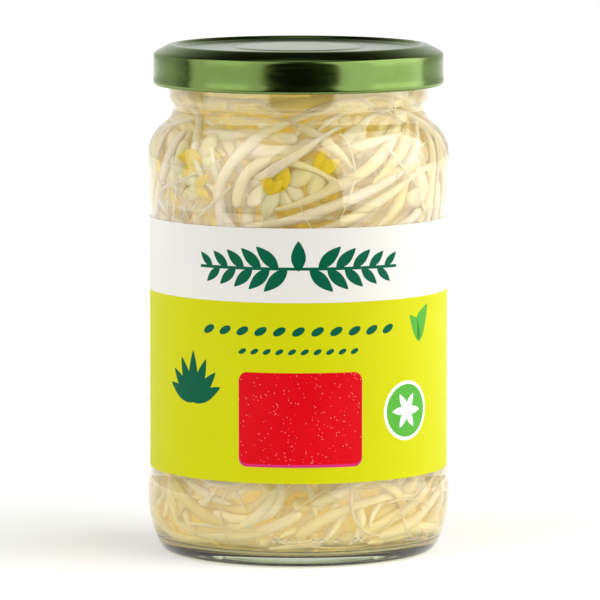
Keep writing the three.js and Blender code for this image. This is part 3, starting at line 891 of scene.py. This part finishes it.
def inside_jar(spots, gap):
    """Whether every spot keeps a gap to the glass and to the liquid's top."""
    spots = np.array(spots)
    heights = spots[:, 2]
    clear = np.hypot(spots[:, 0], spots[:, 1]) + gap < wall_radius(heights)
    return bool(np.all(clear & (heights > FLOOR_HEIGHT + gap) & (heights < FILL_HEIGHT - 1 - gap)))


def place_open_seeds(draw, room, seeds, leaves):
    """Opened seeds with their first leaves near the glass, most of them under the shoulder."""
    for _ in range(OPEN_SEED_TRIES):
        if len(seeds) >= OPEN_SEEDS:
            break
        spot = random_spot(draw, 4.6, 2.3, 87 if draw.random() < 0.85 else 4)
        if room.at(spot[None])[0] < 1.3:
            continue
        out = np.array([spot[0], spot[1], 0])
        along = unit(np.cross(out, draw.normal(size=3)))
        across = unit(np.cross(out, along))
        size = draw.uniform(0.85, 1.25)
        opened = draw.uniform(0.1, 0.7)
        tips = [spot + end * along * 4 * size + side * across * 2 * size
                for end in (-1, 1) for side in (-1, 1)]
        if not inside_jar(tips, 1.6 * size):
            continue
        for side in (-1, 1):
            turn = facing(along, out) @ Matrix.Rotation(side * opened, 3, "Z")
            turn = turn @ Matrix.Rotation(-side * 0.35, 3, "X")
            seeds.append((turn, Vector(spot + side * across * 1.6 * size) * MM, size))
        room.take([spot + across * 1.5, spot - across * 1.5], [2.0, 2.0])
        leaf_tips = [spot - along * 7.5 + side * across * 2.5 for side in (-1, 0, 1)]
        if draw.random() < 0.7 and inside_jar(leaf_tips, 0.8):
            for side in (-1, 1):
                turn = facing(-along, out) @ Matrix.Rotation(side * draw.uniform(0.2, 0.8), 3, "Z")
                base = spot - along * 1.5 + unit(out) * 1.2
                leaves.append((turn, Vector(base) * MM, draw.uniform(0.8, 1.25)))
            room.take([spot - along * 4.5], [2.4])


def lay_bed(draw, stems):
    """Flat layers of stems on the jar's floor, which show from below."""
    for k in range(BED_STEMS):
        height = BED_HEIGHTS[k % len(BED_HEIGHTS)]
        reach = 27 * math.sqrt(draw.random())
        angle = draw.uniform(0, TURN)
        heading = draw.uniform(0, TURN)
        bend = draw.uniform(-0.12, 0.12)
        spots = [np.array([reach * math.sin(angle), reach * math.cos(angle), height])]
        for _ in range(int(draw.integers(8, 18))):
            heading += bend + draw.normal() * 0.05
            ahead = np.array([math.cos(heading), math.sin(heading), draw.normal() * 0.05])
            end = spots[-1] + ahead * STEM_STEP
            if np.hypot(end[0], end[1]) > BED_RADIUS:
                break
            spots.append(end)
        if len(spots) > 4:
            fullness = draw.uniform(1.2, 1.6)
            stems[k % len(stems)].add(np.array(spots), stem_radii(draw, len(spots), fullness))


def add_stem_end(draw, room, spots, seeds, leaves):
    """The two seed halves on some stems, and a first leaf on some of those."""
    ahead = spots[0] - spots[1]
    out = np.array([spots[0][0], spots[0][1], 0])
    tip = spots[0] + unit(ahead) * 2.4
    roomy = inside_jar([tip, tip + unit(ahead) * 3], 3)
    if draw.random() >= (0.4 if tip[2] > UPPER_SEEDS else 0.12) or not roomy:
        return
    for side in (-1, 1):
        turn = facing(ahead, out) @ Matrix.Rotation(side * draw.uniform(0.15, 0.5), 3, "Z")
        spot = tip + side * unit(np.cross(out, ahead)) * 1.3
        seeds.append((turn, Vector(spot) * MM, draw.uniform(0.8, 1.1)))
    room.take([tip], [3.2])
    if draw.random() < 0.5:
        turn = facing(ahead, out) @ Matrix.Rotation(draw.uniform(-0.8, 0.8), 3, "X")
        leaves.append((turn, Vector(spots[0] + unit(ahead)) * MM, draw.uniform(0.6, 1.0)))


def place_loose_seeds(draw, room, seeds, leaves):
    """Single seed halves, some with a leaf, most of them near the top of the jar."""
    for _ in range(LOOSE_TRIES):
        spot = random_spot(draw, 4.2, 1.6)
        upper = spot[2] > LOOSE_SEEDS_FROM or draw.random() < 0.08
        out = np.array([spot[0], spot[1], 0])
        along = unit(np.cross(out, draw.normal(size=3)))
        fits = inside_jar([spot - along * 3.6, spot + along * 3.6], 1.5)
        if upper and fits and room.at(spot[None])[0] > 1.1 and len(seeds) < SEED_HALVES:
            seeds.append((facing(along, out), Vector(spot) * MM, draw.uniform(0.75, 1.05)))
            room.take([spot], [2.2])
            if draw.random() < 0.35 and inside_jar([spot - along * 9], 1.2):
                base = Vector(spot - along * 2.5) * MM
                leaves.append((facing(-along, out), base, draw.uniform(0.6, 1.1)))


def add_fine_roots(draw, room, finish):
    """Thread-like root ends in the gaps near the glass."""
    roots = Tubes("fine_roots", finish, 1)
    for _ in range(LOOSE_TRIES):
        start = random_spot(draw, 3.2, 0.5)
        if room.at(start[None])[0] < 0.3 or len(roots.curve.splines) > FINE_ROOTS:
            continue
        steps = int(draw.integers(7, 18))
        radii = np.linspace(draw.uniform(0.26, 0.42), 0.12, steps)
        spots = grow(room, draw, start, radii, 0.15, 0.7, 0.12)
        if len(spots) > 5:
            roots.add(*doubled(smoothed(spots, 1), radii[: len(spots)]))
    ride_as_sprouts(roots.piece())


def add_core(finish):
    """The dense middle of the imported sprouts, as one wavy body that shows through the gaps."""
    bm = bmesh.new()
    spin_profile(bm, eased(CORE, 3), sides=96)
    draw = random.Random(3)
    waves = [(round(draw.uniform(2, 9)), draw.uniform(-0.35, 0.35), draw.uniform(0, TURN))
             for _ in range(CORE_WAVES)]
    for vert in bm.verts:
        angle = math.atan2(vert.co.x, -vert.co.y)
        swell = sum(math.sin(a * angle + b * vert.co.z / MM + c) for a, b, c in waves)
        vert.co.xy *= 1 + CORE_WAVE_HEIGHT * swell
    ride_as_sprouts(mesh_object("inner_sprouts", bm, [finish]))


def fill_with_sprouts(room, tones):
    """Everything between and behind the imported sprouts."""
    draw = np.random.default_rng(7)
    seed = flesh_material("seed_flesh", (0.83, 0.77, 0.50), (0.84, 0.66, 0.14), 0.3)
    leaf = flesh_material("leaf_flesh", (0.95, 0.70, 0.02), (0.88, 0.62, 0.03), 0.15)
    thread = flesh_material("root_flesh", (0.86, 0.78, 0.56), (0.78, 0.56, 0.16), 0.15)

    stems = {layer: [Tubes(f"{layer}_stems_{tone}", finish, 2 if layer == "back" else 3)
                     for tone, finish in tones.items()] for layer in ("front", "back", "neck")}
    seeds = []
    leaves = []
    place_open_seeds(draw, room, seeds, leaves)
    for layer, wanted, (outer, inner), sink, lowest in STEM_LAYERS:
        made = 0
        for _ in range(wanted * STEM_TRIES):
            if made >= wanted:
                break
            start = random_spot(draw, inner, outer, lowest)
            fullness = draw.uniform(1.25, 1.85)
            if room.at(start[None])[0] < fullness - sink:
                continue
            radii = stem_radii(draw, int(draw.integers(9, 23)), fullness)
            spots = grow(room, draw, start, radii, sink, 0.45, flat=0.25 if layer == "neck" else 1.1)
            if len(spots) < SHORTEST_STEM:
                continue
            radii = stem_radii(draw, len(spots), fullness)
            room.take(spots, radii)
            spots = smoothed(spots)
            line = (spots, radii) if layer == "back" else doubled(spots, radii)
            stems[layer][made % len(tones)].add(*line)
            made += 1
            add_stem_end(draw, room, spots, seeds, leaves)
    lay_bed(draw, stems["back"])
    for tubes in sum(stems.values(), []):
        ride_as_sprouts(tubes.piece())

    place_loose_seeds(draw, room, seeds, leaves)
    ride_as_sprouts(add_copies("seed_halves", seed_half_template(), seeds, seed))
    ride_as_sprouts(add_copies("first_leaves", leaf_template(), leaves, leaf))
    add_fine_roots(draw, room, thread)
    add_core(tones["golden"])


def add_camera():
    """The camera of the photograph, as fitted to the jar's outline."""
    data = bpy.data.cameras.new("camera")
    data.sensor_width = 36
    data.lens = CAMERA_LENS
    data.shift_x = CAMERA_SHIFT
    data.clip_end = 20
    camera = bpy.data.objects.new("camera", data)
    camera.location = (0, -CAMERA_DISTANCE * MM, CAMERA_HEIGHT * MM)
    camera.rotation_euler = (math.pi / 2 - CAMERA_PITCH, 0, 0)
    bpy.context.scene.collection.objects.link(camera)
    bpy.context.scene.camera = camera


def add_softbox(name, azimuth, distance, height, size, power):
    """A rectangular lamp that faces the jar. Azimuth is counted from the camera towards -X."""
    data = bpy.data.lights.new(name, "AREA")
    data.shape = "RECTANGLE"
    data.size, data.size_y = size
    data.energy = power
    lamp = bpy.data.objects.new(name, data)
    angle = math.radians(azimuth)
    lamp.location = (-distance * math.sin(angle), -distance * math.cos(angle), height)
    aim = Vector(LAMPS_AIM) - lamp.location
    lamp.rotation_euler = aim.to_track_quat("-Z", "Y").to_euler()
    bpy.context.scene.collection.objects.link(lamp)


def add_floor():
    """A pale round sheet that ends a little in front of the jar and glows softly further off."""
    bm = bmesh.new()
    bmesh.ops.create_circle(bm, cap_ends=True, segments=96, radius=FLOOR_RADIUS)
    bmesh.ops.translate(bm, verts=bm.verts, vec=(0, FLOOR_RADIUS - FLOOR_AHEAD, 0))
    sheet, tree, shader = material("studio_sheet")
    coords, parts = place(tree)
    tone = blend_colour(tree, noise(tree, coords, 3, 2), (0.93, 0.93, 0.92), (0.95, 0.95, 0.94))
    tree.links.new(tone, shader.inputs["Base Color"])
    shader.inputs["Roughness"].default_value = 0.9
    shader.inputs["Emission Color"].default_value = (1, 1, 1, 1)
    glow = between(tree, radius_of(tree, parts), 0.06, 0.5, *FLOOR_GLOW)
    tree.links.new(glow, shader.inputs["Emission Strength"])
    mesh_object("studio_floor", bm, [sheet])


def add_surroundings():
    """A pale backdrop low behind the jar, a soft ceiling light, and a dim room round the rest."""
    world = bpy.data.worlds.new("studio")
    world.use_nodes = True
    tree = world.node_tree
    around = node(tree, "ShaderNodeTexCoord").outputs["Generated"]
    direction = node(tree, "ShaderNodeSeparateXYZ", {0: around})
    behind = between(tree, direction.outputs[1], 0.0, 0.55)
    low = between(tree, direction.outputs[2], 0.8, 0.25)
    share = maths(tree, "MULTIPLY", behind, low)
    walls = blend_colour(tree, share, (ROOM_GLOW,) * 3, (BACKDROP_GLOW,) * 3)
    overhead = between(tree, direction.outputs[2], 0.9, 0.98)
    glow = blend_colour(tree, overhead, walls, (CEILING_GLOW,) * 3)
    seen = node(tree, "ShaderNodeLightPath").outputs["Is Camera Ray"]
    back = tree.nodes["Background"]
    tree.links.new(blend_colour(tree, seen, glow, (1.0, 1.0, 1.0)), back.inputs["Color"])
    bpy.context.scene.world = world
    bpy.context.scene.view_settings.view_transform = "Standard"


def add_studio():
    add_floor()
    add_surroundings()
    for softbox in SOFTBOXES:
        add_softbox(*softbox)


add_camera()
add_studio()
make_jar(glass_material())
make_brine(brine_material())
make_lid(lacquer_material(), lining_material())
make_seal(lining_material())
make_label(paper_material())
print_label()
flesh_tones = {tone: flesh_material(f"{tone}_flesh", *look) for tone, look in FLESH_TONES_WITH_BRINE_TINT.items()}
packed = make_pairs([flesh_tones["ivory"], flesh_tones["ivory"], flesh_tones["cream"]])
fill_with_sprouts(Room(packed), flesh_tones)
